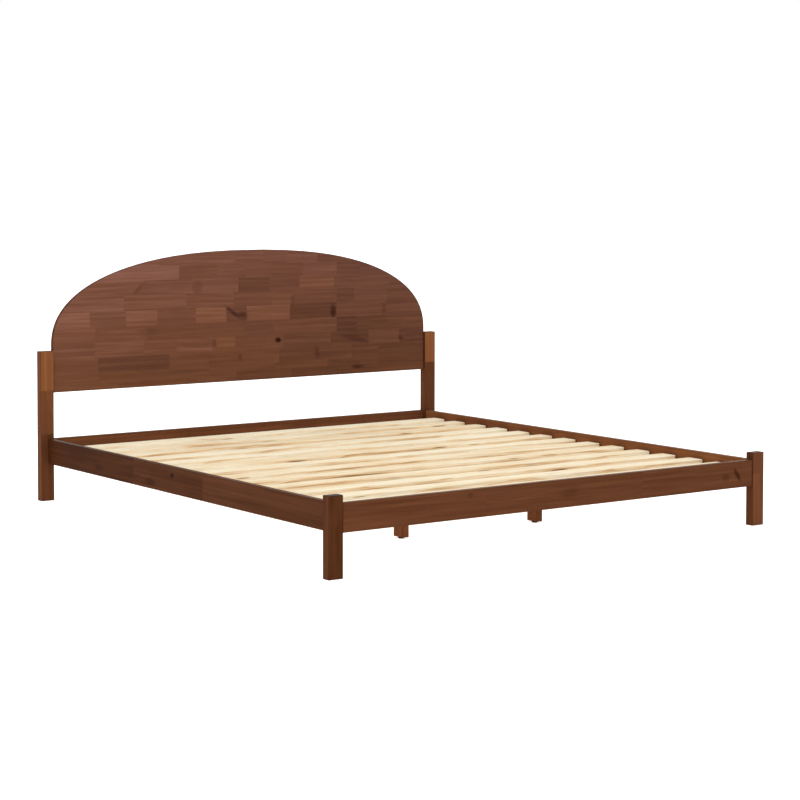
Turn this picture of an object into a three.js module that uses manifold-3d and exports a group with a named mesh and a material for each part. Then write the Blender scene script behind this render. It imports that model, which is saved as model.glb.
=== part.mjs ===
// Platform bed in solid pine for a 180 x 200 cm mattress, with an arched headboard.
// Millimetres, +Z up. The floor is z = 0, the headboard stands towards +Y, and the
// origin lies on the floor below the middle of the bed.
import * as THREE from 'three';
import { RoundedBoxGeometry } from 'three/addons/geometries/RoundedBoxGeometry.js';
import { mergeVertices } from 'three/addons/utils/BufferGeometryUtils.js';
import Module from 'manifold-3d';

// ---- driving dimensions -------------------------------------------------------------
const MATTRESS_WIDTH = 1800;   // clear width between the side rails
const OVERALL_LENGTH = 2054;
const FIT = 0.3;               // gap between pieces that touch
const REVEAL = 3;              // rail faces stand this far back from the post faces
const ARRIS = 2;               // softened edge of the planed pine
const ARRIS_STEPS = 2;

const POST_X = 55;             // section of the posts and legs
const POST_Y = 35;
const HEAD_POST_HEIGHT = 585;
const FOOT_LEG_HEIGHT = 267;

const RAIL_THICKNESS = 22;
const RAIL_HEIGHT = 96;
const RAIL_BOTTOM = 145;
const TENON_THICKNESS = 10;
const TENON_HEIGHT = 66;
const GLUED_TENON = 20;        // foot and head rail into their legs and posts
const STUB_TENON = 6;          // side rails, which come apart again

const PANEL_THICKNESS = 16;
const PANEL_BOTTOM = 421;
const ARCH_SPRING = 600;       // where the straight sides turn into the arch
const ARCH_TOP = 962;
const ARCH_FULLNESS = 2.3;     // 2 is an ellipse, more is squarer at the shoulders
const ARCH_SEGMENTS = 72;

const SLAT_COUNT = 13;
const SLAT_WIDTH = 72;
const SLAT_THICKNESS = 18;
const SLAT_TOP = 216;
const SLAT_PITCH = 146.4;
const SLAT_ARRIS = 4;          // slats are rounded over more than the boards
const SLAT_END_CLEARANCE = 6;

const CLEAT_THICKNESS = 20;
const CLEAT_HEIGHT = 30;
const CLEAT_HALF_LENGTH = 930;

const BEAM_THICKNESS = 28;
const BEAM_HEIGHT = 50;
const CENTRE_LEG_X = 301;      // centre legs stand at a third and two thirds of the width
const CENTRE_LEG_Y = 507;
const CENTRE_LEG_THICKNESS = 28;
const CENTRE_LEG_DEPTH = 55;
const CHEEK_CLEARANCE = 2;     // from the top of a centre leg to the slats

const FOOT_RADIUS = 11;        // screw-in levelling foot
const FOOT_DISC = 5.2;
const STEM_RADIUS = 4;
const STEM_TOP = 31;
const NUT_FLANGE_RADIUS = 9;
const NUT_FLANGE = 1.5;
const NUT_BARREL_RADIUS = 5.5;
const NUT_HEIGHT = 12.3;

const DOWEL_RADIUS = 4;
const DOWEL_LENGTH = 56;
const DOWEL_HEIGHTS = { lower: 470, upper: 560 };

const BOLT_RADIUS = 3;
const BOLT_LENGTH = 38;
const BOLT_ACROSS_CORNERS = 11.5;
const BOLT_HEAD = 4;
const BOLT_FLANGE_RADIUS = 6.5;
const BOLT_FLANGE = 1.2;

const STEEL = 2.5;             // sheet that the brackets are folded from
const SCREW_HOLE_RADIUS = 2.5;
const CORNER_BRACKET = { height: 44, bottom: 150, bend: 32, end: 66 };
const BEAM_BRACKET = { height: 46, reach: 42, width: 26 };

// ---- places that follow from them ---------------------------------------------------
const railInnerX = MATTRESS_WIDTH / 2;
const railOuterX = railInnerX + RAIL_THICKNESS;
const postInnerX = railInnerX - REVEAL;
const postMidX = postInnerX + POST_X / 2;
const endY = OVERALL_LENGTH / 2;
const postFaceY = endY - POST_Y;
const postMidY = endY - POST_Y / 2;
const railInnerY = endY - REVEAL - RAIL_THICKNESS;
const railMidX = (railInnerX + railOuterX) / 2;
const railMidY = endY - REVEAL - RAIL_THICKNESS / 2;
const railMidZ = RAIL_BOTTOM + RAIL_HEIGHT / 2;
const slatBottom = SLAT_TOP - SLAT_THICKNESS;
const beamTop = slatBottom - FIT;
const beamBottom = beamTop - BEAM_HEIGHT;
const beamX = CENTRE_LEG_X - BEAM_THICKNESS / 2;
const centreLegBottom = FOOT_DISC + FIT;
const centreLegTop = slatBottom - CHEEK_CLEARANCE;
const boltZ = beamBottom + BEAM_HEIGHT / 2;

// ---- materials ----------------------------------------------------------------------
const finish = (color, roughness, metalness = 0) => ({ color, roughness, metalness });
const WALNUT_STAIN = finish(0x653c26, 0.5);
const HEADBOARD_STAIN = finish(0x6b4430, 0.5);
const BARE_PINE = finish(0xeadcb8, 0.7);
const BEECH = finish(0xd9b98a, 0.7);
const ZINC = finish(0xb4b8bb, 0.35, 1);
const BLACK_PLASTIC = finish(0x1c1b1a, 0.5);

const wasm = await Module();
wasm.setup();

const bed = new THREE.Group();
bed.name = 'arched_headboard_bed';

function add(name, look, geometry, position = [0, 0, 0], turn = 0) {
  const mesh = new THREE.Mesh(geometry, new THREE.MeshStandardMaterial(look));
  mesh.name = name;
  mesh.position.set(...position);
  mesh.rotation.z = turn;
  bed.add(mesh);
}

// ---- joining and cutting ------------------------------------------------------------
function toSolid(geometry) {
  geometry.deleteAttribute('normal');
  geometry.deleteAttribute('uv');
  const { attributes, index } = mergeVertices(geometry, 1e-3);
  return new wasm.Manifold(new wasm.Mesh({
    numProp: 3,
    vertProperties: new Float32Array(attributes.position.array),
    triVerts: new Uint32Array(index.array),
  }));
}

function toGeometry(solid) {
  const { vertProperties, triVerts } = solid.getMesh();
  const geometry = new THREE.BufferGeometry();
  geometry.setAttribute('position', new THREE.BufferAttribute(vertProperties, 3));
  geometry.setIndex(new THREE.BufferAttribute(triVerts, 1));
  return geometry;
}

const cut = (body, tools) => tools.reduce((left, tool) => left.subtract(tool), body);

// A planed board between two corners, with its edges softened.
function board(low, high, radius = ARRIS) {
  const size = high.map((value, i) => value - low[i]);
  const middle = high.map((value, i) => (value + low[i]) / 2);
  return toSolid(new RoundedBoxGeometry(...size, ARRIS_STEPS, radius).translate(...middle));
}

function block(low, high) {
  const size = high.map((value, i) => value - low[i]);
  const middle = high.map((value, i) => (value + low[i]) / 2);
  return toSolid(new THREE.BoxGeometry(...size).translate(...middle));
}

// A round bar along X, Y or Z from one place to another on that axis.
function rod(axis, radius, from, to, [a, b], sides = 24) {
  const bar = new THREE.CylinderGeometry(radius, radius, Math.abs(to - from), sides);
  const middle = (from + to) / 2;
  if (axis === 'x') bar.rotateZ(Math.PI / 2).translate(middle, a, b);
  if (axis === 'y') bar.translate(a, middle, b);
  if (axis === 'z') bar.rotateX(Math.PI / 2).translate(a, b, middle);
  return toSolid(bar);
}

// ---- tenons and their mortises ------------------------------------------------------
// side is -1 on the left and +1 on the right; end is -1 at the foot and +1 at the head.
const span = (a, b) => [Math.min(a, b), Math.max(a, b)];

function endRailTenon(side, end, slack) {
  const [x0, x1] = span(side * (postInnerX - FIT - ARRIS - 1), side * (postInnerX + GLUED_TENON + slack));
  const halfY = TENON_THICKNESS / 2 + slack;
  const halfZ = TENON_HEIGHT / 2 + slack;
  return block([x0, end * railMidY - halfY, railMidZ - halfZ], [x1, end * railMidY + halfY, railMidZ + halfZ]);
}

function sideRailTenon(side, end, slack) {
  const [y0, y1] = span(end * (postFaceY - FIT - ARRIS - 1), end * (postFaceY + STUB_TENON + slack));
  const halfX = TENON_THICKNESS / 2 + slack;
  const halfZ = TENON_HEIGHT / 2 + slack;
  return block([side * railMidX - halfX, y0, railMidZ - halfZ], [side * railMidX + halfX, y1, railMidZ + halfZ]);
}

const mortises = (side, end) => [endRailTenon(side, end, FIT), sideRailTenon(side, end, FIT)];

const SIDES = [['left', -1], ['right', 1]];
const ENDS = [['front', -1], ['rear', 1]];

// ---- headboard ----------------------------------------------------------------------
// An edge-glued panel: straight sides between the posts, then a full, squarish arch. It stands
// in the middle of the posts' depth.
const panelMidY = postMidY;

function headboardPanel() {
  const halfWidth = postInnerX - FIT;
  const outline = new THREE.Shape();
  outline.moveTo(-halfWidth, PANEL_BOTTOM);
  outline.lineTo(halfWidth, PANEL_BOTTOM);
  for (let i = 0; i <= ARCH_SEGMENTS; i += 1) {
    const angle = Math.PI * i / ARCH_SEGMENTS;
    const across = Math.sign(Math.cos(angle)) * Math.abs(Math.cos(angle)) ** (2 / ARCH_FULLNESS);
    const up = Math.sin(angle) ** (2 / ARCH_FULLNESS);
    outline.lineTo(halfWidth * across, ARCH_SPRING + (ARCH_TOP - ARCH_SPRING) * up);
  }
  outline.closePath();
  const slab = new THREE.ExtrudeGeometry(outline, {
    depth: PANEL_THICKNESS - 2 * ARRIS,
    bevelSize: ARRIS,
    bevelThickness: ARRIS,
    bevelOffset: -ARRIS,
    bevelSegments: 2,
  });
  slab.rotateX(Math.PI / 2).translate(0, panelMidY + PANEL_THICKNESS / 2 - ARRIS, 0);
  return slab;
}

const dowelBore = (side, z) => rod('x', DOWEL_RADIUS + FIT, side * (postInnerX - DOWEL_LENGTH / 2 - 1),
  side * (postInnerX + DOWEL_LENGTH / 2 + 1), [panelMidY, z]);
const dowelBores = (side) => Object.values(DOWEL_HEIGHTS).map((z) => dowelBore(side, z));

add('headboard_panel', HEADBOARD_STAIN,
  toGeometry(cut(toSolid(headboardPanel()), [...dowelBores(-1), ...dowelBores(1)])));

for (const [sideName, side] of SIDES) {
  const [x0, x1] = span(side * postInnerX, side * (postInnerX + POST_X));
  const post = board([x0, postFaceY, 0], [x1, endY, HEAD_POST_HEIGHT]);
  add(`head_post_${sideName}`, WALNUT_STAIN,
    toGeometry(cut(post, [...mortises(side, 1), ...dowelBores(side)])));
}

// Fluted beech dowels that pin the panel's edges to the posts.
function dowel() {
  const half = DOWEL_LENGTH / 2;
  const profile = [[0, -half], [DOWEL_RADIUS - 1, -half], [DOWEL_RADIUS, -half + 1.5],
    [DOWEL_RADIUS, half - 1.5], [DOWEL_RADIUS - 1, half], [0, half]];
  const points = profile.map(([r, y]) => new THREE.Vector2(r, y));
  return new THREE.LatheGeometry(points, 16).rotateZ(Math.PI / 2);
}

for (const [sideName, side] of SIDES) {
  for (const [level, z] of Object.entries(DOWEL_HEIGHTS)) {
    add(`headboard_dowel_${sideName}_${level}`, BEECH, dowel(), [side * postInnerX, panelMidY, z]);
  }
}

// ---- foot legs ----------------------------------------------------------------------
for (const [sideName, side] of SIDES) {
  const [x0, x1] = span(side * postInnerX, side * (postInnerX + POST_X));
  const leg = board([x0, -endY, 0], [x1, -postFaceY, FOOT_LEG_HEIGHT]);
  add(`foot_leg_${sideName}`, WALNUT_STAIN, toGeometry(cut(leg, mortises(side, -1))));
}

// ---- rails --------------------------------------------------------------------------
for (const [name, end] of [['foot_rail', -1], ['head_rail', 1]]) {
  const reach = postInnerX - FIT;
  const [y0, y1] = span(end * railInnerY, end * (railInnerY + RAIL_THICKNESS));
  const rail = board([-reach, y0, RAIL_BOTTOM], [reach, y1, RAIL_BOTTOM + RAIL_HEIGHT]);
  add(name, WALNUT_STAIN,
    toGeometry(rail.add(endRailTenon(-1, end, -FIT)).add(endRailTenon(1, end, -FIT))));
}

for (const [sideName, side] of SIDES) {
  const reach = postFaceY - FIT;
  const [x0, x1] = span(side * railInnerX, side * railOuterX);
  const rail = board([x0, -reach, RAIL_BOTTOM], [x1, reach, RAIL_BOTTOM + RAIL_HEIGHT]);
  add(`side_rail_${sideName}`, WALNUT_STAIN,
    toGeometry(rail.add(sideRailTenon(side, -1, -FIT)).add(sideRailTenon(side, 1, -FIT))));
}

// ---- slat cleats --------------------------------------------------------------------
for (const [sideName, side] of SIDES) {
  const [x0, x1] = span(side * (railInnerX - FIT - CLEAT_THICKNESS), side * (railInnerX - FIT));
  const cleat = board([x0, -CLEAT_HALF_LENGTH, beamTop - CLEAT_HEIGHT], [x1, CLEAT_HALF_LENGTH, beamTop]);
  add(`slat_cleat_${sideName}`, BARE_PINE, toGeometry(cleat));
}

// ---- slats --------------------------------------------------------------------------
const slatReach = railInnerX - SLAT_END_CLEARANCE;
for (let i = 0; i < SLAT_COUNT; i += 1) {
  const y = (i - (SLAT_COUNT - 1) / 2) * SLAT_PITCH;
  const slat = new RoundedBoxGeometry(2 * slatReach, SLAT_WIDTH, SLAT_THICKNESS, ARRIS_STEPS, SLAT_ARRIS);
  add(`slat_${String(i + 1).padStart(2, '0')}`, BARE_PINE, slat, [0, y, slatBottom + SLAT_THICKNESS / 2]);
}

// ---- support beams and centre legs --------------------------------------------------
// A leg's inner half is cut away at the top, so the beam sits on the shoulder and one
// coach screw through the cheek holds the two together.
const beamReach = railInnerY - 2 * FIT - STEEL;
const legOuter = CENTRE_LEG_X + CENTRE_LEG_THICKNESS / 2;
const screwBore = (side, y) => rod('x', BOLT_RADIUS + FIT, side * (legOuter + 1),
  side * (legOuter - BOLT_LENGTH - 1), [y, boltZ], 16);

for (const [sideName, side] of SIDES) {
  const middle = side * beamX;
  const beam = board([middle - BEAM_THICKNESS / 2, -beamReach, beamBottom],
    [middle + BEAM_THICKNESS / 2, beamReach, beamTop]);
  add(`support_beam_${sideName}`, BARE_PINE,
    toGeometry(cut(beam, ENDS.map(([, end]) => screwBore(side, end * CENTRE_LEG_Y)))));
}

function centreLeg(side, end) {
  const x = side * CENTRE_LEG_X;
  const y = end * CENTRE_LEG_Y;
  const low = [x - CENTRE_LEG_THICKNESS / 2, y - CENTRE_LEG_DEPTH / 2, centreLegBottom];
  const high = [x + CENTRE_LEG_THICKNESS / 2, y + CENTRE_LEG_DEPTH / 2, centreLegTop];
  const [notchLow, notchHigh] = span(x + side * FIT, side * (beamX - BEAM_THICKNESS));
  const notch = block([notchLow, y - CENTRE_LEG_DEPTH, beamBottom - FIT],
    [notchHigh, y + CENTRE_LEG_DEPTH, centreLegTop + 1]);
  const below = centreLegBottom - 1;
  return cut(board(low, high), [
    notch,
    screwBore(side, y),
    rod('z', NUT_FLANGE_RADIUS + FIT, below, centreLegBottom + NUT_FLANGE + 2 * FIT, [x, y]),
    rod('z', NUT_BARREL_RADIUS + FIT, below, centreLegBottom + NUT_HEIGHT + 2 * FIT, [x, y]),
    rod('z', STEM_RADIUS + 1, below, STEM_TOP + 3, [x, y]),
  ]);
}

// Pressed-in steel nut with a flange, flush with the end of the leg.
function insertNut() {
  const bore = STEM_RADIUS + FIT;
  const profile = [[bore, 0], [NUT_FLANGE_RADIUS, 0], [NUT_FLANGE_RADIUS, NUT_FLANGE],
    [NUT_BARREL_RADIUS, NUT_FLANGE], [NUT_BARREL_RADIUS, NUT_HEIGHT], [bore, NUT_HEIGHT], [bore, 0]];
  const points = profile.map(([r, y]) => new THREE.Vector2(r, y));
  return new THREE.LatheGeometry(points, 24).rotateX(Math.PI / 2);
}

// Plastic glide moulded on a threaded stem; it screws in and out of the nut.
function levellingFoot() {
  const profile = [[0, 0], [FOOT_RADIUS - 1.5, 0], [FOOT_RADIUS, 1.2], [FOOT_RADIUS, FOOT_DISC - 1.5],
    [FOOT_RADIUS - 1.5, FOOT_DISC], [STEM_RADIUS, FOOT_DISC], [STEM_RADIUS, STEM_TOP - 1],
    [STEM_RADIUS - 1, STEM_TOP], [0, STEM_TOP]];
  const points = profile.map(([r, y]) => new THREE.Vector2(r, y));
  return new THREE.LatheGeometry(points, 24).rotateX(Math.PI / 2);
}

// Coach screw with a flanged hexagon head, its shank along -X.
function coachScrew() {
  const head = rod('x', BOLT_ACROSS_CORNERS / 2, 0, BOLT_FLANGE + BOLT_HEAD, [0, 0], 6);
  const flange = rod('x', BOLT_FLANGE_RADIUS, 0, BOLT_FLANGE, [0, 0]);
  const shank = rod('x', BOLT_RADIUS, BOLT_FLANGE / 2, -BOLT_LENGTH, [0, 0], 16);
  return toGeometry(flange.add(head).add(shank));
}

for (const [endName, end] of ENDS) {
  for (const [sideName, side] of SIDES) {
    const place = `${endName}_${sideName}`;
    const x = side * CENTRE_LEG_X;
    const y = end * CENTRE_LEG_Y;
    add(`centre_leg_${place}`, WALNUT_STAIN, toGeometry(centreLeg(side, end)));
    add(`insert_nut_${place}`, ZINC, insertNut(), [x, y, centreLegBottom + FIT]);
    add(`levelling_foot_${place}`, BLACK_PLASTIC, levellingFoot(), [x, y, 0]);
    add(`leg_screw_${place}`, ZINC, coachScrew(), [side * (legOuter + FIT), y, boltZ],
      side > 0 ? 0 : Math.PI);
  }
}

// ---- steel brackets -----------------------------------------------------------------
// Extrudes a folded profile drawn in the XY plane by its height, standing on z = 0.
function folded(points, height) {
  const shape = new THREE.Shape(points.map(([x, y]) => new THREE.Vector2(x, y)));
  return toSolid(new THREE.ExtrudeGeometry(shape, { depth: height, bevelEnabled: false }));
}

// Ties a side rail to an end rail across the inside of the corner, clear of the leg.
// Its own origin is where the two rails' inner faces meet, with the bed towards -X -Y.
function cornerBracket() {
  const { height, bend, end } = CORNER_BRACKET;
  const inner = FIT + STEEL;
  const innerBend = bend + STEEL * Math.tan(Math.PI / 8);
  const strip = folded([[-FIT, -end], [-FIT, -bend], [-bend, -FIT], [-end, -FIT],
    [-end, -inner], [-innerBend, -inner], [-inner, -innerBend], [-inner, -end]], height);
  const leaf = -(bend + end) / 2;
  const holes = [height / 4, height * 3 / 4].flatMap((z) => [
    rod('x', SCREW_HOLE_RADIUS, 1, -inner - 1, [leaf, z], 16),
    rod('y', SCREW_HOLE_RADIUS, 1, -inner - 1, [leaf, z], 16),
  ]);
  return cut(strip, holes);
}

// Carries a beam's end: one leaf on the rail behind the beam, one leaf below the beam.
// Its own origin is on the rail's inner face, level with the underside of the bracket.
function beamBracket() {
  const { height, reach, width } = BEAM_BRACKET;
  const inner = FIT + STEEL;
  const angle = folded([[-FIT, 0], [-FIT, height], [-inner, height], [-inner, STEEL],
    [-reach, STEEL], [-reach, 0]], width);
  const turned = toGeometry(angle).translate(0, 0, -width / 2).rotateX(Math.PI / 2).rotateZ(Math.PI / 2);
  return cut(toSolid(turned), [
    rod('y', SCREW_HOLE_RADIUS, 1, -inner - 1, [0, height * 2 / 3], 16),
    rod('z', SCREW_HOLE_RADIUS, -1, STEEL + 1, [0, -reach * 2 / 3], 16),
  ]);
}

const QUARTER = Math.PI / 2;
const cornerTurn = { front_left: 2 * QUARTER, front_right: 3 * QUARTER, rear_left: QUARTER, rear_right: 0 };
for (const [endName, end] of ENDS) {
  for (const [sideName, side] of SIDES) {
    const place = `${endName}_${sideName}`;
    add(`corner_bracket_${place}`, ZINC, toGeometry(cornerBracket()),
      [side * railInnerX, end * railInnerY, CORNER_BRACKET.bottom], cornerTurn[place]);
    add(`beam_bracket_${place}`, ZINC, toGeometry(beamBracket()),
      [side * beamX, end * railInnerY, beamBottom - FIT - STEEL], end > 0 ? 0 : Math.PI);
  }
}

export default bed;
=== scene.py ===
import math
import random

import bmesh
import bpy
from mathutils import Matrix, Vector


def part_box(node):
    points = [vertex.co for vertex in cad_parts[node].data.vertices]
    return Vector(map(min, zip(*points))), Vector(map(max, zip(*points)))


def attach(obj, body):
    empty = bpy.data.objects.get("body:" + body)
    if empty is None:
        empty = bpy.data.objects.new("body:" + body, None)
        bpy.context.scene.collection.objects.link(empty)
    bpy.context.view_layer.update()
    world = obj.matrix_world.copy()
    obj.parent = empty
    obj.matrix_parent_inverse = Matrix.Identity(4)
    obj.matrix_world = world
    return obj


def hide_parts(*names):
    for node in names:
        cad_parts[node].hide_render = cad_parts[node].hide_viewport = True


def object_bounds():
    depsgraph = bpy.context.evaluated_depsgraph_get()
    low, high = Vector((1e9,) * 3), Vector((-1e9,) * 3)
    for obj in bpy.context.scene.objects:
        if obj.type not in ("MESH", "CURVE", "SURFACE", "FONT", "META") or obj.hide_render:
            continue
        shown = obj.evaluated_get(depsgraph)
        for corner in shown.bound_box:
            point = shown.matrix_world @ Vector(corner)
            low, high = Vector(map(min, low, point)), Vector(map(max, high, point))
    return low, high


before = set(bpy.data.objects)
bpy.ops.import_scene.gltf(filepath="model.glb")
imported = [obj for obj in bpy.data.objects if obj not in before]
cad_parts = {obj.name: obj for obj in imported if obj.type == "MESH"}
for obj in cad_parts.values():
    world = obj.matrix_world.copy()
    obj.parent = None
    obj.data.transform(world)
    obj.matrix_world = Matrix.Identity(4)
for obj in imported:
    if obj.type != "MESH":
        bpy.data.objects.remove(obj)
cad_low, cad_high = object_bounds()
bpy.ops.object.select_all(action="DESELECT")

# ---- headboard panel ----------------------------------------------------------------
# One panel of pine staves, finger-jointed end to end, edge-glued in rows about 60 mm
# high, sawn to a full arch, sanded flush and wiped with a walnut stain. The light and
# dark staves show because each comes from another board. Dowels pin its ends to the posts.
PANEL_ARRIS = 0.002
ARCH_FULLNESS = 2.3
ARCH_SPRING = 0.600
ARCH_CUTS = 44
DOWEL_BORE = 0.0043
DOWEL_DEPTH = 0.029
DOWEL_LEVELS = (0.470, 0.560)

# Bottom of each row, then where its staves end from left to right, all in millimetres.
STAVE_ROWS = (
    (421, (-610, -250, -60, 210, 520, 900)),
    (460, (-695, -530, -190, 130, 390, 560, 655, 900)),
    (488, (-698, -376, -192, 149, 345, 515, 655, 900)),
    (547, (-713, -492, -342, -158, -65, 168, 408, 603, 765, 900)),
    (607, (-710, -477, -312, -20, 123, 438, 543, 700, 900)),
    (668, (-735, -572, -430, -252, -108, -10, 202, 438, 693, 900)),
    (729, (-582, -297, -72, 115, 220, 438, 528, 700, 900)),
    (789, (-492, -267, -50, 104, 250, 423, 565, 712, 900)),
    (848, (-330, -150, -15, 112, 265, 438, 558, 900)),
    (905, (-420, -65, 70, 190, 340, 900)),
)
# Tone runs from 0 for the darkest stain to 1 for the palest. The panel is drawn palest at its
# upper left and darker towards the right end and the bottom: partly stain, partly painted light
# and a painted sheen, as from a soft light at the upper left.
MIDDLE_TONE = 0.40
TONE_AND_PAINTED_LIGHT_FALL_TO_RIGHT = 0.20
TONE_AND_PAINTED_SHEEN_RISE_TO_TOP = 0.10
TONE_SPREAD = 0.07
# Hue runs from -1 for plum-brown, as in the upper rows, to 1 for orange-brown, as below. The
# greyer plum of the upper rows is partly a painted sheen.
HUE_AND_PAINTED_SHEEN_FALL_TO_TOP = 0.7
HUE_SPREAD = 0.3
# The few staves that stand out from their neighbours, by row and number.
DARK_STAVES = ((2, 1), (4, 6), (5, 5), (5, 7), (7, 3))
PALE_STAVES = ((3, 4), (5, 2), (5, 4), (5, 6), (7, 5))
STAND_OUT = 0.2
PALE_STAVE_WARMTH = 0.6


def select_faces(thing, wanted):
    """In edit mode, selects just the faces for which wanted(face) is true."""
    mesh = bmesh.from_edit_mesh(thing.data)
    for face in mesh.faces:
        face.select_set(False)
    for face in mesh.faces:
        if wanted(face):
            face.select_set(True)
    mesh.select_flush_mode()
    bmesh.update_edit_mesh(thing.data)


def place_applied(thing, name):
    """Names a new primitive and moves its place, turn and size into its mesh."""
    thing.name = name
    thing.data.name = name
    bpy.ops.object.transform_apply(location=True, rotation=True, scale=True)
    return thing


def sawn_arch_outline(panel, low, high):
    """Saws the upper corners off the flat panel with straight cuts that follow the arch."""
    half_width = high.x
    rise = high.z - ARCH_SPRING
    power = 1 / (ARCH_FULLNESS - 1)
    for cut in range(1, ARCH_CUTS):
        angle = math.pi / 2 * cut / ARCH_CUTS
        across = (half_width * math.cos(angle)) ** power
        up = (rise * math.sin(angle)) ** power
        reach = (across ** ARCH_FULLNESS + up ** ARCH_FULLNESS) ** (1 / ARCH_FULLNESS)
        for side in (-1, 1):
            point = (side * half_width * across / reach, low.y, ARCH_SPRING + rise * up / reach)
            bpy.ops.mesh.select_all(action="SELECT")
            bpy.ops.mesh.bisect(plane_co=point, plane_no=(side * math.cos(angle), 0, math.sin(angle)),
                                clear_outer=True)


panel_low, panel_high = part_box("headboard_panel")
panel_width = panel_high.x - panel_low.x
panel_rise = panel_high.z - panel_low.z
bpy.ops.mesh.primitive_plane_add(
    size=1, rotation=(math.pi / 2, 0, 0),
    location=(0, panel_low.y, (panel_low.z + panel_high.z) / 2))
headboard = bpy.context.object
headboard.scale = (panel_width, panel_rise, 1)
place_applied(headboard, "headboard")

bpy.ops.object.mode_set(mode="EDIT")
bpy.ops.mesh.select_mode(type="FACE")
sawn_arch_outline(headboard, panel_low, panel_high)
for row_bottom, _ in STAVE_ROWS[1:]:
    bpy.ops.mesh.select_all(action="SELECT")
    bpy.ops.mesh.bisect(plane_co=(0, 0, row_bottom / 1000), plane_no=(0, 0, 1))
row_tops = [bottom / 1000 for bottom, _ in STAVE_ROWS[1:]] + [panel_high.z]
for (row_bottom, staves), row_top in zip(STAVE_ROWS, row_tops):
    for stave_end in staves[:-1]:
        select_faces(headboard, lambda face: row_bottom / 1000 < face.calc_center_bounds().z < row_top)
        bpy.ops.mesh.bisect(plane_co=(stave_end / 1000, 0, 0), plane_no=(1, 0, 0))
bpy.ops.mesh.select_all(action="SELECT")
bpy.ops.mesh.extrude_region_move(
    TRANSFORM_OT_translate={"value": (0, panel_high.y - panel_low.y, 0)})
bpy.ops.mesh.select_all(action="SELECT")
bpy.ops.mesh.normals_make_consistent(inside=False)
bpy.ops.object.mode_set(mode="OBJECT")


def apply_modifier(thing, kind, **settings):
    """Gives a piece one modifier and applies it."""
    bpy.context.view_layer.objects.active = thing
    modifier = thing.modifiers.new(kind.title(), kind)
    for setting, value in settings.items():
        setattr(modifier, setting, value)
    bpy.ops.object.modifier_apply(modifier=modifier.name)


apply_modifier(headboard, "BEVEL", width=PANEL_ARRIS, segments=3, limit_method="ANGLE",
               angle_limit=math.radians(60))

for side in (-1, 1):
    for level in DOWEL_LEVELS:
        bpy.ops.object.select_all(action="DESELECT")
        bpy.ops.mesh.primitive_cylinder_add(
            vertices=32, radius=DOWEL_BORE, depth=2 * DOWEL_DEPTH, rotation=(0, math.pi / 2, 0),
            location=(side * panel_high.x, (panel_low.y + panel_high.y) / 2, level))
        drill = bpy.context.object
        apply_modifier(headboard, "BOOLEAN", object=drill, operation="DIFFERENCE", solver="EXACT")
        bpy.data.objects.remove(drill)


def find_stave(x, z):
    """Row and number of the stave at a place on the panel."""
    row = max(i for i, (bottom, _) in enumerate(STAVE_ROWS) if i == 0 or z * 1000 > bottom)
    number = sum(x * 1000 >= stave_end for stave_end in STAVE_ROWS[row][1])
    return row, number


def stave_look(row, number):
    """A stave's tone and hue, and where in the log it was sawn."""
    log = random.Random(100 * row + number)
    sawn_at = log.random()
    ends = STAVE_ROWS[row][1]
    start = ends[number - 1] if number else -ends[-1]
    across = (start + ends[number]) / 2 / ends[-1]
    up = 2 * row / (len(STAVE_ROWS) - 1) - 1
    # The slope of tone and hue across the panel is partly painted light and painted sheen.
    tone = MIDDLE_TONE - TONE_AND_PAINTED_LIGHT_FALL_TO_RIGHT * across + TONE_AND_PAINTED_SHEEN_RISE_TO_TOP * up
    tone += log.uniform(-TONE_SPREAD, TONE_SPREAD)
    hue = -HUE_AND_PAINTED_SHEEN_FALL_TO_TOP * up + log.uniform(-HUE_SPREAD, HUE_SPREAD)
    if (row, number) in DARK_STAVES:
        tone -= STAND_OUT
    if (row, number) in PALE_STAVES:
        tone += STAND_OUT
        hue += PALE_STAVE_WARMTH
    return tone, hue, sawn_at


# Each face keeps its stave's tone and hue, and where in the log the stave was sawn.
stave_data = headboard.data.attributes.new("stave", "FLOAT_VECTOR", "FACE")
for face, held in zip(headboard.data.polygons, stave_data.data):
    held.vector = stave_look(*find_stave(face.center.x, face.center.z))


def shade(hex_colour):
    """An sRGB hex colour as the linear colour that nodes take."""
    parts = [int(hex_colour[i:i + 2], 16) / 255 for i in (1, 3, 5)]
    return tuple(p / 12.92 if p <= 0.04045 else ((p + 0.055) / 1.055) ** 2.4 for p in parts) + (1,)


def add_node(tree, kind, inputs=None, stops=(), **settings):
    """Adds a node with its settings, colour stops and inputs. An input is a value, or a node or
    socket to link from; its key is a name, or its place among the sockets in use."""
    made = tree.nodes.new("ShaderNode" + kind)
    for setting, value in settings.items():
        setattr(made, setting, value)
    for place, (position, colour) in enumerate(stops):
        held = made.color_ramp.elements
        stop = held[place] if place < 2 else held.new(position)
        stop.position = position
        stop.color = colour
    for key, value in (inputs or {}).items():
        usable = [socket for socket in made.inputs if socket.enabled]
        socket = usable[key] if isinstance(key, int) else next(s for s in usable if s.name == key)
        if isinstance(value, bpy.types.Node):
            value = next(output for output in value.outputs if output.enabled)
        if isinstance(value, bpy.types.NodeSocket):
            tree.links.new(value, socket)
        else:
            socket.default_value = value
    return made


def grey(value):
    return (value, value, value, 1)


# Turns that bring a board's grain onto X, and its section onto Y and Z.
GRAIN_TURN = {"x": (0, 0, 0), "y": (0, 0, -math.pi / 2), "z": (0, math.pi / 2, 0)}
# Slow-grown pine has rings 2 to 4 mm apart. They are drawn 9 mm apart, the finest that
# still shows on a whole bed.
RING_SPACING = 0.009
# Fibres are about 0.03 mm wide; they are drawn as 4 mm lines for the same reason.
FIBRE_LINES = 260
STREAKS = 85
BLOTCHES = 9


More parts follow.
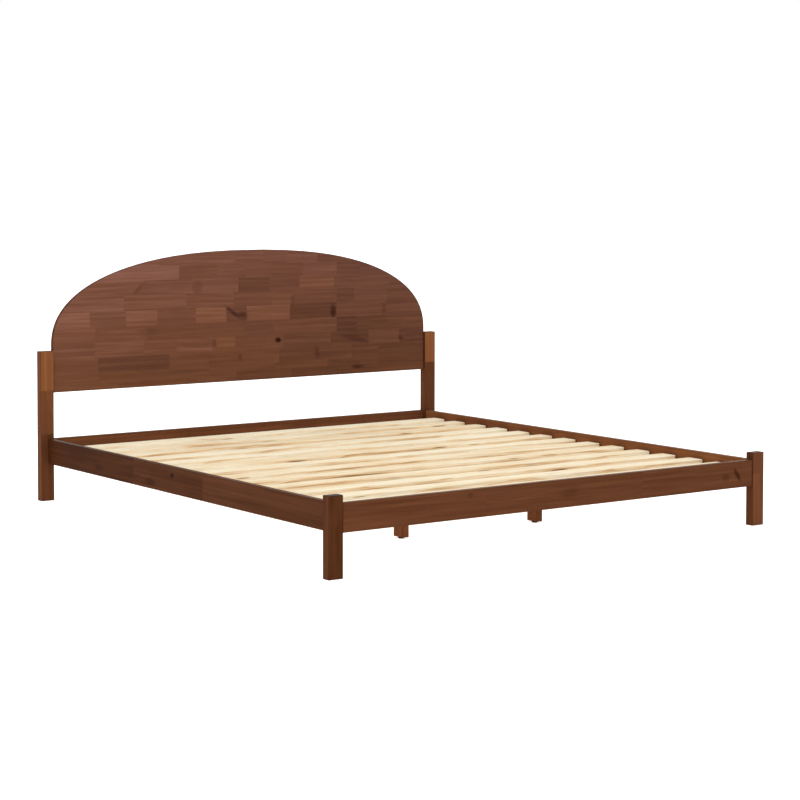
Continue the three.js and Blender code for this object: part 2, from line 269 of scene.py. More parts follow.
def pine_figure(tree, board):
    """What the saw shows in pine: ring lines cut from the tree's own rings, long streaks,
    fibres, and the slow blotches in which pine takes up colour. board is the place on the
    board, with X along the grain and the pith on the X axis."""
    sway = add_node(tree, "TexNoise", {
        "Vector": add_node(tree, "VectorMath", {0: board, 1: (1.3, 5, 5)}, operation="MULTIPLY"),
        "Scale": 1, "Detail": 2})
    swayed = add_node(tree, "VectorMath", {
        0: sway.outputs["Color"], 1: (0, 0.034, 0.034), 2: board}, operation="MULTIPLY_ADD")
    section = add_node(tree, "VectorMath", {0: swayed, 1: (0, 1, 1)}, operation="MULTIPLY")
    radius = add_node(tree, "VectorMath", {0: section}, operation="LENGTH")
    ring = add_node(tree, "Math", {
        0: add_node(tree, "Math", {0: radius, 1: 1 / RING_SPACING}, operation="MULTIPLY")},
        operation="FRACT")
    latewood = add_node(tree, "ValToRGB", {"Fac": ring}, stops=(
        (0, grey(0.1)), (0.45, grey(0)), (0.86, grey(1)), (0.94, grey(1)), (1, grey(0.1))))
    figure = {"latewood": latewood}
    for name, stretch, detail in (("streaks", (2.2, STREAKS, STREAKS), 4),
                                  ("fibres", (9, FIBRE_LINES, FIBRE_LINES), 2),
                                  ("blotches", (3, BLOTCHES, BLOTCHES), 2)):
        figure[name] = add_node(tree, "TexNoise", {
            "Vector": add_node(tree, "VectorMath", {0: board, 1: stretch}, operation="MULTIPLY"),
            "Scale": 1, "Detail": detail})
    return figure


def knots_in(tree, coordinates, knots):
    """Darkness of a board's knots, from 0 to 1. A knot is its centre, its three radii, its
    tilt in the face, and how dark it is."""
    darkness = None
    ragged = add_node(tree, "TexNoise", {"Vector": coordinates, "Scale": 70, "Detail": 2})
    for centre, radii, tilt, strength in knots:
        turned = add_node(tree, "Mapping", {
            "Vector": coordinates, "Location": centre, "Rotation": tilt, "Scale": radii},
            vector_type="TEXTURE")
        distance = add_node(tree, "VectorMath", {0: turned}, operation="LENGTH")
        edge = add_node(tree, "Math", {
            0: add_node(tree, "Math", {0: ragged, 1: 0.5}, operation="SUBTRACT"), 1: 0.6, 2: distance},
            operation="MULTIPLY_ADD")
        dark = add_node(tree, "MapRange", {
            "Value": edge, "From Min": 0.45, "From Max": 1.35, "To Min": strength, "To Max": 0},
            interpolation_type="SMOOTHSTEP")
        darkness = dark if darkness is None else add_node(
            tree, "Math", {0: darkness, 1: dark}, operation="MAXIMUM")
    return darkness


# End grain drinks the most stain, and what is wiped off gathers along the arrises.
END_GRAIN_DARKER = 0.45
ARRIS_DARKER = 0.22
# How far the hue turns from the middle stave to the most orange one.
HUE_RANGE = 0.006
# The shine is a painted reflection: upright faces are kept nearly matt, as though they mirrored
# a dark room, which the even white world doesn't hold, and only faces that look up shine.
PAINTED_DARK_ROOM_SHINE = 0.02


def stained_pine(name, grain, pith, stops, knots=(), joints=None, staves=False, tone=0.5,
                 painted_side_shading=None):
    """Pine wiped with a walnut oil stain and a thin wax: satin, so that the light comes back
    warm from inside the grain. Except on the staves, how much it shines is a painted reflection
    set by which way a face looks, so that faces that look up shine and only a grazing edge shows
    it. The soft early wood drinks more stain, so the hard late-wood lines stay a little lighter.
    joints are where along the grain each length starts, with its tone. The side shading argument
    is the tone of the faces that look left or right, painted lighter or darker as painted light and
    shade."""
    material = bpy.data.materials.new(name)
    material.use_nodes = True
    tree = material.node_tree
    surface = tree.nodes["Principled BSDF"]
    place = add_node(tree, "TexCoord").outputs["Object"]
    board = add_node(tree, "Mapping", {
        "Vector": place, "Rotation": GRAIN_TURN[grain], "Location": (0, *pith)})
    if staves:
        stave = add_node(tree, "Attribute", attribute_name="stave").outputs["Vector"]
        parts = add_node(tree, "SeparateXYZ", {0: stave})
        base = parts.outputs["X"]
        board = add_node(tree, "VectorMath", {0: parts.outputs["Z"], 1: (31, 0.35, 0.25), 2: board},
                         operation="MULTIPLY_ADD")
    elif joints:
        along = add_node(tree, "SeparateXYZ", {0: board}).outputs["X"]
        start, end = joints[0][0], joints[-1][0]
        share = add_node(tree, "MapRange", {"Value": along, "From Min": start, "From Max": end})
        lengths = add_node(tree, "ValToRGB", {"Fac": share}, stops=[
            ((where - start) / (end - start), grey(length_tone)) for where, length_tone in joints])
        lengths.color_ramp.interpolation = "CONSTANT"
        base = lengths.outputs["Color"]
        board = add_node(tree, "VectorMath", {0: base, 1: (53, 0.31, 0.17), 2: board},
                         operation="MULTIPLY_ADD")
    else:
        base = tone
    normal = add_node(tree, "NewGeometry").outputs["True Normal"]
    facing = add_node(tree, "VectorMath", {0: normal}, operation="ABSOLUTE")
    # Painted light and shade: faces that look left or right take a tone of their own, lighter or
    # darker for how the light falls on them.
    if painted_side_shading is not None:
        sideways = add_node(tree, "Math", {
            0: add_node(tree, "SeparateXYZ", {0: facing}).outputs["X"], 1: 0.7},
            operation="GREATER_THAN")
        base = add_node(tree, "Mix", {"Factor": sideways, "A": base, "B": painted_side_shading})
    figure = pine_figure(tree, board)
    value = base
    for part, weight in (("latewood", 0.08), ("streaks", 0.6), ("fibres", 0.3), ("blotches", 0.25)):
        centre = -weight * (0.35 if part == "latewood" else 0.5)
        shift = add_node(tree, "Math", {0: figure[part], 1: weight, 2: centre},
                         operation="MULTIPLY_ADD")
        value = add_node(tree, "Math", {0: value, 1: shift}, operation="ADD")
    if knots:
        value = add_node(tree, "Math", {0: value, 1: knots_in(tree, place, knots)},
                         operation="SUBTRACT")
    end_grain = add_node(tree, "SeparateXYZ", {0: facing}).outputs[grain.upper()]
    slant = add_node(tree, "VectorMath", {0: facing, 1: (1, 1, 1)}, operation="DOT_PRODUCT")
    arris = add_node(tree, "MapRange", {
        "Value": slant, "From Min": 1.02, "From Max": 1.15, "To Min": 0, "To Max": ARRIS_DARKER})
    for darker in (arris, add_node(tree, "Math", {0: end_grain, 1: END_GRAIN_DARKER},
                                   operation="MULTIPLY")):
        value = add_node(tree, "Math", {0: value, 1: darker}, operation="SUBTRACT")
    scaled = add_node(tree, "MapRange", {
        "Value": value, "From Min": -0.8, "From Max": 1.4})
    colour = add_node(tree, "ValToRGB", {"Fac": scaled}, stops=[
        ((position + 0.8) / 2.2, shade(tint)) for position, tint in stops])
    if staves:
        hue = parts.outputs["Y"]
        colour = add_node(tree, "HueSaturation", {
            "Hue": add_node(tree, "Math", {0: hue, 1: HUE_RANGE, 2: 0.5}, operation="MULTIPLY_ADD"),
            "Saturation": add_node(tree, "Math", {0: hue, 1: 0.06, 2: 1}, operation="MULTIPLY_ADD"),
            "Color": colour})
    tree.links.new(colour.outputs["Color"], surface.inputs["Base Color"])
    dryness = add_node(tree, "MapRange", {
        "Value": figure["fibres"], "From Min": 0.3, "From Max": 0.7, "To Min": 0.46, "To Max": 0.62})
    tree.links.new(dryness.outputs[0], surface.inputs["Roughness"])
    relief = add_node(tree, "Math", {0: figure["latewood"], 1: 0.35, 2: figure["fibres"]},
                      operation="MULTIPLY_ADD")
    bump = add_node(tree, "Bump", {"Height": relief, "Strength": 0.25, "Distance": 0.0004})
    tree.links.new(bump.outputs["Normal"], surface.inputs["Normal"])
    surface.inputs["IOR"].default_value = 1.5
    if staves:
        surface.inputs["Specular IOR Level"].default_value = PAINTED_DARK_ROOM_SHINE
    else:
        # Painted sheen: the reflection grows as a face looks up, tinted pink.
        painted_top_sheen = add_node(tree, "MapRange", {
            "Value": add_node(tree, "SeparateXYZ", {0: normal}).outputs["Z"],
            "From Min": 0.2, "From Max": 0.7, "To Min": PAINTED_DARK_ROOM_SHINE, "To Max": 0.4})
        tree.links.new(painted_top_sheen.outputs[0], surface.inputs["Specular IOR Level"])
        surface.inputs["Specular Tint"].default_value = shade("#ffc9a6")
    return material


HEADBOARD_STOPS = (
    (-0.8, "#1a0a05"), (-0.3, "#361c13"), (0, "#4f3024"), (0.5, "#694332"), (1.0, "#875c4d"),
    (1.4, "#a0766a"))
HEADBOARD_KNOTS = (
    ((0.143, 1.0015, 0.582), (0.015, 1, 0.011), (0, 0, 0), 0.9),
    ((-0.075, 1.0015, 0.705), (0.050, 1, 0.009), (0, math.radians(35), 0), 0.4),
    ((-0.030, 1.0015, 0.690), (0.026, 1, 0.019), (0, 0, 0), 0.35),
    ((-0.245, 1.0015, 0.816), (0.026, 1, 0.026), (0, 0, 0), 0.22),
    ((-0.515, 1.0015, 0.815), (0.030, 1, 0.009), (0, math.radians(-40), 0), 0.25),
    ((-0.470, 1.0015, 0.640), (0.045, 1, 0.018), (0, 0, 0), 0.12),
    ((-0.165, 1.0015, 0.577), (0.012, 1, 0.025), (0, 0, 0), 0.2),
    ((-0.042, 1.0015, 0.520), (0.010, 1, 0.015), (0, 0, 0), 0.25),
    ((0.420, 1.0015, 0.693), (0.015, 1, 0.030), (0, 0, 0), 0.4),
    ((0.683, 1.0015, 0.693), (0.012, 1, 0.030), (0, 0, 0), 0.2),
    ((0.540, 1.0015, 0.570), (0.075, 1, 0.013), (0, math.radians(12), 0), 0.22),
    ((0.772, 1.0015, 0.566), (0.018, 1, 0.010), (0, math.radians(30), 0), 0.25),
    ((0.338, 1.0015, 0.520), (0.013, 1, 0.025), (0, 0, 0), 0.22),
    ((0.545, 1.0015, 0.452), (0.030, 1, 0.012), (0, 0, 0), 0.25),
    ((0.215, 1.0015, 0.745), (0.010, 1, 0.026), (0, 0, 0), 0.22),
)
headboard_finish = stained_pine("walnut_stained_pine_staves", "x", (0.11, -0.3), HEADBOARD_STOPS,
                                knots=HEADBOARD_KNOTS, staves=True)
headboard.data.materials.append(headboard_finish)
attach(headboard, "bed_frame")
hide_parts("headboard_panel")

# ---- head posts ---------------------------------------------------------------------
# Two posts of finger-jointed pine, planed to 55 x 35 mm, mortised for the rails and bored
# for the dowels, stained with the same walnut stain. Each is drawn orange-brown at the top and
# darker red-brown below, its tone changing at set heights.
FRAME_STOPS = (
    (-0.8, "#0e0502"), (-0.3, "#26120a"), (0, "#40210e"), (0.5, "#5b3622"), (1.0, "#7a4b2c"),
    (1.4, "#94643f"))


def finish_nodes(material, *names):
    """Gives CAD pieces their material."""
    for name in names:
        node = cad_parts[name]
        if not node.material_slots:
            node.data.materials.append(material)
        for holder in node.material_slots:
            holder.material = material


finish_nodes(
    stained_pine("walnut_stained_pine_left_post", "z", (0.975, -0.90), FRAME_STOPS,
                 joints=((0, 0.36), (0.26, 0.70), (0.43, 1.0), (0.6, 1.0)), painted_side_shading=0.5),
    "head_post_left")
finish_nodes(
    stained_pine("walnut_stained_pine_right_post", "z", (-0.98, 0.97), FRAME_STOPS,
                 joints=((0, 0.34), (0.25, 0.37), (0.451, 0.97), (0.6, 0.97)), painted_side_shading=0.4),
    "head_post_right")

# ---- headboard dowels ---------------------------------------------------------------
# Fluted beech dowels, 8 mm, glued half into the panel's ends and half into the posts.
# Beech is hard and even, pale pink-tan with tiny dark flecks.
beech = bpy.data.materials.new("fluted_beech")
beech.use_nodes = True
beech_tree = beech.node_tree
beech_place = add_node(beech_tree, "TexCoord").outputs["Object"]
beech_flecks = add_node(beech_tree, "TexNoise", {
    "Vector": add_node(beech_tree, "VectorMath", {0: beech_place, 1: (120, 900, 900)},
                       operation="MULTIPLY"),
    "Scale": 1, "Detail": 2})
beech_colour = add_node(beech_tree, "ValToRGB", {"Fac": beech_flecks}, stops=(
    (0.3, shade("#a9794f")), (0.55, shade("#d9b98a")), (0.8, shade("#e4c89c"))))
beech_surface = beech_tree.nodes["Principled BSDF"]
beech_tree.links.new(beech_colour.outputs["Color"], beech_surface.inputs["Base Color"])
beech_surface.inputs["Roughness"].default_value = 0.65
finish_nodes(beech, *[f"headboard_dowel_{side}_{level}"
                      for side in ("left", "right") for level in ("lower", "upper")])

# ---- rails --------------------------------------------------------------------------
# Four rails of finger-jointed pine, 96 x 22 mm, tenoned into the posts and legs. The foot
# rail shows its broad planed face, with knots near its right end.
finish_nodes(
    stained_pine("walnut_stained_pine_foot_rail", "x", (1.05, -0.24), FRAME_STOPS,
                 joints=((-0.9, 0.43), (-0.33, 0.41), (0.36, 0.43), (0.9, 0.43)),
                 knots=(
                     ((0.765, -1.024, 0.186), (0.020, 1, 0.014), (0, 0, 0), 0.22),
                     ((0.822, -1.024, 0.192), (0.030, 1, 0.009), (0, math.radians(55), 0), 0.5),
                     ((-0.390, -1.024, 0.221), (0.014, 1, 0.010), (0, 0, 0), 0.2),
                     ((0.036, -1.024, 0.195), (0.050, 1, 0.018), (0, math.radians(-12), 0), 0.16))),
    "foot_rail")
finish_nodes(
    stained_pine("walnut_stained_pine_head_rail", "x", (-0.98, -0.17), FRAME_STOPS,
                 joints=((-0.9, 0.52), (0.15, 0.49), (0.9, 0.49))),
    "head_rail")
finish_nodes(
    stained_pine("walnut_stained_pine_left_rail", "y", (-0.86, -0.22), FRAME_STOPS,
                 joints=((-1.0, 0.20), (-0.2, 0.10), (0.3, 0.0), (1.0, 0.0)),
                 knots=(
                     ((-0.922, 0.18, 0.169), (1, 0.040, 0.012), (0, 0, 0), 0.2),
                     ((-0.922, 0.02, 0.210), (1, 0.014, 0.009), (0, 0, 0), 0.4),
                     ((-0.922, 0.575, 0.176), (1, 0.030, 0.012), (0, 0, 0), 0.15))),
    "side_rail_left")
finish_nodes(
    stained_pine("walnut_stained_pine_right_rail", "y", (0.95, -0.16), FRAME_STOPS,
                 joints=((-1.0, 0.88), (0.1, 0.84), (1.0, 0.84))),
    "side_rail_right")

# ---- foot legs ----------------------------------------------------------------------
# Two legs of the same section as the posts, mortised for the foot rail and side rails.
finish_nodes(
    stained_pine("walnut_stained_pine_left_leg", "z", (-1.01, -1.04), FRAME_STOPS,
                 joints=((0, 0.12), (0.3, 0.12)), painted_side_shading=0.24),
    "foot_leg_left")
finish_nodes(
    stained_pine("walnut_stained_pine_right_leg", "z", (0.96, 0.95), FRAME_STOPS,
                 joints=((0, 0.60), (0.19, 0.54), (0.3, 0.54)), painted_side_shading=0.24),
    "foot_leg_right")

# ---- slats --------------------------------------------------------------------------
# Thirteen loose slats of bare planed pine, 72 x 18 mm with rounded edges. Cream with tan
# streaks, here and there a pin knot, and thin dark dashes along the edges. Each comes from another
# board.
SLAT_PITCH = 0.1464
SLAT_COUNT = 13


# The edges are painted darker and more tan than the tops, as painted shade: faces that don't
# look up get less light.
PAINTED_EDGE_SHADE = 0.15
# Each slat's long edges carry a few thin dark dashes along the grain.
DASH_LENGTH = 0.05
DASH_WIDTH = 0.002
DASH_DARKNESS = 0.75
DASHES_LEFT_OUT = 0.85


def bare_pine(name, grain, pith, board_pitch, board_axis):
    """Unfinished pine straight from the planer: pale and matt, with late wood darker than
    the early wood, honey-tan streaks, small dark dashes along the grain on the edges, and painted
    shade on the faces that don't look up."""
    material = bpy.data.materials.new(name)
    material.use_nodes = True
    tree = material.node_tree
    surface = tree.nodes["Principled BSDF"]
    place = add_node(tree, "TexCoord").outputs["Object"]
    across = add_node(tree, "SeparateXYZ", {0: place}).outputs[board_axis]
    number = add_node(tree, "Math", {
        0: add_node(tree, "Math", {0: across, 1: 1 / board_pitch, 2: 0.5}, operation="MULTIPLY_ADD")},
        operation="FLOOR")
    source = add_node(tree, "TexWhiteNoise", {"W": number}, noise_dimensions="1D")
    turned = add_node(tree, "Mapping", {
        "Vector": place, "Rotation": GRAIN_TURN[grain], "Location": (0, *pith)})
    board = add_node(tree, "VectorMath", {
        0: source.outputs["Color"], 1: (37, 0.4, 0.06), 2: turned}, operation="MULTIPLY_ADD")
    figure = pine_figure(tree, board)
    value = add_node(tree, "Math", {0: source.outputs["Value"], 1: 0.12, 2: 0.56},
                     operation="MULTIPLY_ADD")
    for part, weight in (("latewood", -0.18), ("streaks", 0.75), ("fibres", 0.55), ("blotches", 0.2)):
        centre = -weight * (0.3 if part == "latewood" else 0.5)
        shift = add_node(tree, "Math", {0: figure[part], 1: weight, 2: centre},
                         operation="MULTIPLY_ADD")
        value = add_node(tree, "Math", {0: value, 1: shift}, operation="ADD")
    dashes = add_node(tree, "TexVoronoi", {
        "Vector": add_node(tree, "VectorMath", {
            0: board, 1: (0.3 / DASH_LENGTH, 0.3 / DASH_WIDTH, 0.3 / DASH_WIDTH)},
            operation="MULTIPLY"),
        "Scale": 1})
    rare = add_node(tree, "SeparateXYZ", {0: dashes.outputs["Color"]}).outputs["X"]
    dash = add_node(tree, "Math", {
        0: add_node(tree, "MapRange", {
            "Value": dashes, "From Min": 0.16, "From Max": 0.3, "To Min": DASH_DARKNESS, "To Max": 0},
            interpolation_type="SMOOTHSTEP"),
        1: add_node(tree, "Math", {0: rare, 1: DASHES_LEFT_OUT}, operation="GREATER_THAN")},
        operation="MULTIPLY")
    facing = add_node(tree, "SeparateXYZ", {
        0: add_node(tree, "NewGeometry").outputs["True Normal"]}).outputs["Z"]
    # Painted shade: the less a face looks up, the darker and more tan it is drawn.
    painted_edge_shade_mask = add_node(tree, "MapRange", {
        "Value": facing, "From Min": 0.1, "From Max": 0.95, "To Min": 1, "To Max": 0})
    for strength, cause in ((-PAINTED_EDGE_SHADE, painted_edge_shade_mask), (-1, dash)):
        shift = add_node(tree, "Math", {0: painted_edge_shade_mask, 1: cause}, operation="MULTIPLY")
        value = add_node(tree, "Math", {0: shift, 1: strength, 2: value}, operation="MULTIPLY_ADD")
    colour = add_node(tree, "ValToRGB", {"Fac": value}, stops=(
        (0, shade("#5e3f22")), (0.2, shade("#b88d5c")), (0.42, shade("#dfc39a")),
        (0.62, shade("#e9dec3")), (0.9, shade("#f2ead6"))))
    colour = add_node(tree, "HueSaturation", {
        "Saturation": add_node(tree, "Math", {0: painted_edge_shade_mask, 1: -0.1, 2: 1.08}, operation="MULTIPLY_ADD"),
        "Value": add_node(tree, "Math", {0: painted_edge_shade_mask, 1: -0.1, 2: 1}, operation="MULTIPLY_ADD"),
        "Color": colour})
    tree.links.new(colour.outputs["Color"], surface.inputs["Base Color"])
    dryness = add_node(tree, "MapRange", {
        "Value": figure["fibres"], "From Min": 0.3, "From Max": 0.7, "To Min": 0.6, "To Max": 0.78})
    tree.links.new(dryness.outputs[0], surface.inputs["Roughness"])
    bump = add_node(tree, "Bump", {
        "Height": add_node(tree, "Math", {0: figure["latewood"], 1: 0.4, 2: figure["fibres"]},
                           operation="MULTIPLY_ADD"),
        "Strength": 0.3, "Distance": 0.0005})
    tree.links.new(bump.outputs["Normal"], surface.inputs["Normal"])
    surface.inputs["IOR"].default_value = 1.5
    surface.inputs["Specular IOR Level"].default_value = 0.25
    return material


finish_nodes(bare_pine("bare_pine_slats", "x", (0.05, -0.18), SLAT_PITCH, "Y"),
             *[f"slat_{i:02d}" for i in range(1, SLAT_COUNT + 1)])

# ---- cleats and support beams -------------------------------------------------------
# Unstained pine that doesn't show from above: a cleat glued and screwed to the inside of
# each side rail, and two beams on edge below the slats, their grain along the bed.
finish_nodes(bare_pine("bare_pine_lengthwise", "y", (0.03, -0.16), 0.4, "X"),
             "slat_cleat_left", "slat_cleat_right", "support_beam_left", "support_beam_right")

# ---- centre legs --------------------------------------------------------------------
# Four short stained legs under the beams, cut away at the top so that the beam sits on a
# shoulder, and held by a coach screw through the cheek.
for place, tone, pith in (("front_left", 0.62, (0.45, -0.33)), ("front_right", 0.52, (-0.55, 0.24)),
                          ("rear_left", 0.5, (0.52, 0.41)), ("rear_right", 0.45, (-0.47, 0.22))):
    finish_nodes(stained_pine(f"walnut_stained_pine_centre_leg_{place}", "z", pith, FRAME_STOPS,
                              tone=tone),
                 f"centre_leg_{place}")

# ---- steel fastenings ---------------------------------------------------------------
# Folded brackets, coach screws and insert nuts in bright zinc plate: a thin bluish-silver
# coat, satin from the barrel, with faint cloudy patches.
zinc = bpy.data.materials.new("bright_zinc_plate")
zinc.use_nodes = True
zinc_tree = zinc.node_tree
zinc_place = add_node(zinc_tree, "TexCoord").outputs["Object"]
zinc_clouds = add_node(zinc_tree, "TexNoise", {"Vector": zinc_place, "Scale": 90, "Detail": 4})
zinc_colour = add_node(zinc_tree, "ValToRGB", {"Fac": zinc_clouds}, stops=(
    (0.3, shade("#9ba1a6")), (0.6, shade("#c3c7c9")), (0.8, shade("#cfcfc4"))))
zinc_rubbed = add_node(zinc_tree, "MapRange", {
    "Value": zinc_clouds, "From Min": 0.3, "From Max": 0.7, "To Min": 0.28, "To Max": 0.45})
zinc_surface = zinc_tree.nodes["Principled BSDF"]
zinc_tree.links.new(zinc_colour.outputs["Color"], zinc_surface.inputs["Base Color"])
zinc_tree.links.new(zinc_rubbed.outputs[0], zinc_surface.inputs["Roughness"])
zinc_surface.inputs["Metallic"].default_value = 1
CORNERS = [(f"{end_name}_{side_name}", end, side)
           for end_name, end in (("front", -1), ("rear", 1))
           for side_name, side in (("left", -1), ("right", 1))]
for kind in ("corner_bracket", "beam_bracket", "insert_nut", "leg_screw"):
    finish_nodes(zinc, *[f"{kind}_{place}" for place, _, _ in CORNERS])

# The heads of the pan-head wood screws that hold the brackets, with a cross recess. The screw
# in each beam bracket's upright leaf is countersunk behind the beam's end and never shows.
SCREW_RADIUS = 0.004
SCREW_RISE = 0.0024
RECESS_LENGTH = 0.0044
RECESS_WIDTH = 0.001
SCREW_CROWN = 0.0014
bpy.ops.object.select_all(action="DESELECT")
bpy.ops.mesh.primitive_cylinder_add(vertices=32, radius=SCREW_RADIUS, depth=SCREW_RISE,
                                    location=(0, 0, SCREW_RISE / 2))
screw = place_applied(bpy.context.object, "bracket_screw")
bpy.ops.object.mode_set(mode="EDIT")
bpy.ops.mesh.select_mode(type="FACE")
select_faces(screw, lambda face: face.normal.z > 0.9)
bpy.ops.mesh.bevel(offset=SCREW_CROWN, segments=4, affect="EDGES")
bpy.ops.object.mode_set(mode="OBJECT")
for turn in (0, math.pi / 2):
    bpy.ops.object.select_all(action="DESELECT")
    bpy.ops.mesh.primitive_cube_add(size=1, location=(0, 0, SCREW_RISE), rotation=(0, 0, turn))
    driver_slot = bpy.context.object
    driver_slot.scale = (RECESS_LENGTH, RECESS_WIDTH, SCREW_RISE)
    apply_modifier(screw, "BOOLEAN", object=driver_slot, operation="DIFFERENCE", solver="EXACT")
    bpy.data.objects.remove(driver_slot)
screw.data.materials.append(zinc)

# Where each head sits, and the way it looks: on the corner bracket's two leaves, and under
# the beam bracket's lower leaf.
LEAF_GAP = 0.0028
RAIL_FACE_X = 0.900
RAIL_FACE_Y = 1.002
LEAF_MIDDLE = 0.049
BEAM_SCREW = (0.287, 0.974, 0.1449)
LEAF_SCREW_LEVELS = (0.161, 0.183)


def copy_piece(piece, name, place, turn=(0, 0, 0)):
    """A copy of a piece with its own mesh, turned and set at its place."""
    copy = piece.copy()
    copy.data = piece.data.copy()
    bpy.context.scene.collection.objects.link(copy)
    copy.location = place
    copy.rotation_euler = turn
    bpy.ops.object.select_all(action="DESELECT")
    copy.select_set(True)
    bpy.context.view_layer.objects.active = copy
    return place_applied(copy, name)


seats = []
for place, end, side in CORNERS:
    for level in LEAF_SCREW_LEVELS:
        seats.append((f"{place}_side_{round(level * 1000)}",
                      (side * (RAIL_FACE_X - LEAF_GAP), end * (RAIL_FACE_Y - LEAF_MIDDLE), level),
                      (-side, 0, 0)))
        seats.append((f"{place}_end_{round(level * 1000)}",
                      (side * (RAIL_FACE_X - LEAF_MIDDLE), end * (RAIL_FACE_Y - LEAF_GAP), level),
                      (0, -end, 0)))
    seats.append((f"{place}_beam", (side * BEAM_SCREW[0], end * BEAM_SCREW[1], BEAM_SCREW[2]),
                  (0, 0, -1)))
for place, seat, outward in seats:
    turn = Vector(outward).to_track_quat("Z", "Y").to_euler()
    head = copy_piece(screw, f"bracket_screw_{place}", seat, turn)
    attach(head, "bed_frame")
bpy.data.objects.remove(screw)

# ---- levelling feet -----------------------------------------------------------------
# Screw-in feet that take up an uneven floor: a glide moulded in black polypropylene on a
# threaded zinc stem, which runs in the insert nut.
GLIDE_HEIGHT = 0.0052
GLIDE_EDGE = 0.0014
STEM_RADIUS = 0.004
THREAD_DEPTH = 0.0006
THREAD_PITCH = 0.00125
STEM_SUNK_IN_GLIDE = 0.001
THREAD_SEAM = 0.00001
stem_low, stem_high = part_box("levelling_foot_front_left")
glide_radius = (stem_high.x - stem_low.x) / 2
bpy.ops.object.select_all(action="DESELECT")
bpy.ops.mesh.primitive_cylinder_add(vertices=48, radius=glide_radius, depth=GLIDE_HEIGHT,
                                    location=(0, 0, GLIDE_HEIGHT / 2))
glide = place_applied(bpy.context.object, "glide")
apply_modifier(glide, "BEVEL", width=GLIDE_EDGE, segments=4, limit_method="ANGLE",
               angle_limit=math.radians(60))

bpy.ops.object.select_all(action="DESELECT")
bpy.ops.mesh.primitive_plane_add(size=THREAD_DEPTH, location=(STEM_RADIUS - THREAD_DEPTH, 0, 0))
stem = place_applied(bpy.context.object, "glide_stem")
bpy.ops.object.mode_set(mode="EDIT")
bpy.ops.mesh.select_mode(type="VERT")
bpy.ops.mesh.select_all(action="SELECT")
bpy.ops.mesh.merge(type="CENTER")
for step in (THREAD_DEPTH, -THREAD_DEPTH):
    bpy.ops.mesh.extrude_region_move(TRANSFORM_OT_translate={"value": (step, 0, THREAD_PITCH / 2)})
bpy.ops.object.mode_set(mode="OBJECT")
apply_modifier(stem, "SCREW", angle=2 * math.pi, screw_offset=THREAD_PITCH,
               iterations=math.ceil(stem_high.z / THREAD_PITCH), steps=24, render_steps=24)
bpy.ops.object.mode_set(mode="EDIT")
bpy.ops.mesh.select_all(action="SELECT")
bpy.ops.mesh.remove_doubles(threshold=THREAD_SEAM)
for level, upward in ((GLIDE_HEIGHT - STEM_SUNK_IN_GLIDE, False), (stem_high.z, True)):
    bpy.ops.mesh.select_all(action="SELECT")
    bpy.ops.mesh.bisect(plane_co=(0, 0, level), plane_no=(0, 0, 1), use_fill=True,
                        clear_inner=not upward, clear_outer=upward)
bpy.ops.mesh.select_all(action="SELECT")
bpy.ops.mesh.normals_make_consistent(inside=False)
bpy.ops.object.mode_set(mode="OBJECT")
stem.data.materials.append(zinc)

# Moulded polypropylene: charcoal black, with the fine pebbling of a spark-eroded mould.
plastic = bpy.data.materials.new("black_polypropylene")
plastic.use_nodes = True
plastic_tree = plastic.node_tree
pebbles = add_node(plastic_tree, "TexNoise", {
    "Vector": add_node(plastic_tree, "TexCoord").outputs["Object"], "Scale": 900, "Detail": 2})
plastic_colour = add_node(plastic_tree, "ValToRGB", {"Fac": pebbles}, stops=(
    (0.3, shade("#161514")), (0.7, shade("#232120"))))
plastic_surface = plastic_tree.nodes["Principled BSDF"]
plastic_tree.links.new(plastic_colour.outputs["Color"], plastic_surface.inputs["Base Color"])
plastic_bump = add_node(plastic_tree, "Bump", {
    "Height": pebbles, "Strength": 0.4, "Distance": 0.0002})
plastic_tree.links.new(plastic_bump.outputs["Normal"], plastic_surface.inputs["Normal"])
plastic_surface.inputs["Roughness"].default_value = 0.5
plastic_surface.inputs["Specular IOR Level"].default_value = 0.3
glide.data.materials.append(plastic)

for place, _, _ in CORNERS:
    low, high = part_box(f"levelling_foot_{place}")
    for part, kind in ((glide, "black_plastic"), (stem, "zinc_steel")):
        foot = copy_piece(part, f"{part.name}_{place}",
                          ((low.x + high.x) / 2, (low.y + high.y) / 2, 0))
        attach(foot, f"levelling_foot_{place}")
        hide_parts(f"levelling_foot_{place}")
bpy.data.objects.remove(glide)
bpy.data.objects.remove(stem)

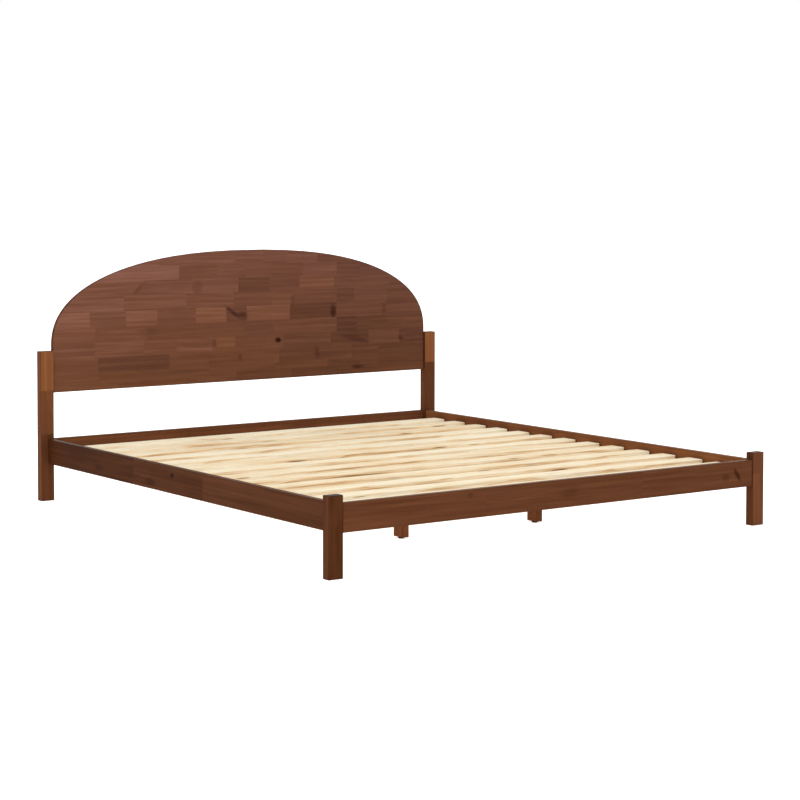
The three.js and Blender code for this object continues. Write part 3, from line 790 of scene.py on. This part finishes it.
# ---- floor, light and camera --------------------------------------------------------
# A plain white acrylic studio floor, lit a little from below, under an even white light.
FLOOR_RADIUS = 60
FLOOR_GLOW = 0.6
bpy.ops.object.select_all(action="DESELECT")
bpy.ops.mesh.primitive_circle_add(vertices=96, radius=FLOOR_RADIUS, fill_type="NGON")
floor = place_applied(bpy.context.object, "studio_floor")
paint = bpy.data.materials.new("lit_white_acrylic_floor")
paint.use_nodes = True
paint_tree = paint.node_tree
paint_marks = add_node(paint_tree, "TexNoise", {
    "Vector": add_node(paint_tree, "TexCoord").outputs["Object"], "Scale": 0.8, "Detail": 3})
paint_colour = add_node(paint_tree, "ValToRGB", {"Fac": paint_marks}, stops=(
    (0.3, shade("#f6f5f3")), (0.7, shade("#fbfaf9"))))
paint_surface = paint_tree.nodes["Principled BSDF"]
paint_tree.links.new(paint_colour.outputs["Color"], paint_surface.inputs["Base Color"])
paint_surface.inputs["Roughness"].default_value = 0.8
paint_surface.inputs["Specular IOR Level"].default_value = 0.1
paint_surface.inputs["Emission Color"].default_value = (1, 1, 1, 1)
paint_surface.inputs["Emission Strength"].default_value = FLOOR_GLOW
floor.data.materials.append(paint)

world = bpy.data.worlds.new("studio")
bpy.context.scene.world = world
world.use_nodes = True
world.node_tree.nodes["Background"].inputs["Color"].default_value = (1, 1, 1, 1)
world.node_tree.nodes["Background"].inputs["Strength"].default_value = 1.0


def softbox(name, place, aim, size, power):
    """A square soft light at one place, facing another."""
    light = bpy.data.lights.new(name, "AREA")
    light.size = size
    light.energy = power
    holder = bpy.data.objects.new(name, light)
    bpy.context.scene.collection.objects.link(holder)
    holder.location = place
    holder.rotation_euler = (holder.location - aim).to_track_quat("Z", "Y").to_euler()
    return holder


bed_middle = (cad_low + cad_high) / 2
softbox("overhead_light", (-0.6, -0.8, 4.5), bed_middle, 4.0, 45)
softbox("upper_left_light", (-3.2, -2.6, 3.2), bed_middle, 2.0, 12)

camera_data = bpy.data.cameras.new("camera")
camera_data.lens = 97.99
camera_data.sensor_width = 36
camera_data.shift_y = -0.1621
camera_data.clip_end = 200
camera = bpy.data.objects.new("camera", camera_data)
bpy.context.scene.collection.objects.link(camera)
camera.location = (-4.7162, -6.6875, 1.2831)
camera.rotation_euler = (math.radians(87.422), math.radians(-0.066), math.radians(-35.499))
bpy.context.scene.camera = camera
bpy.context.scene.view_settings.view_transform = "Standard"
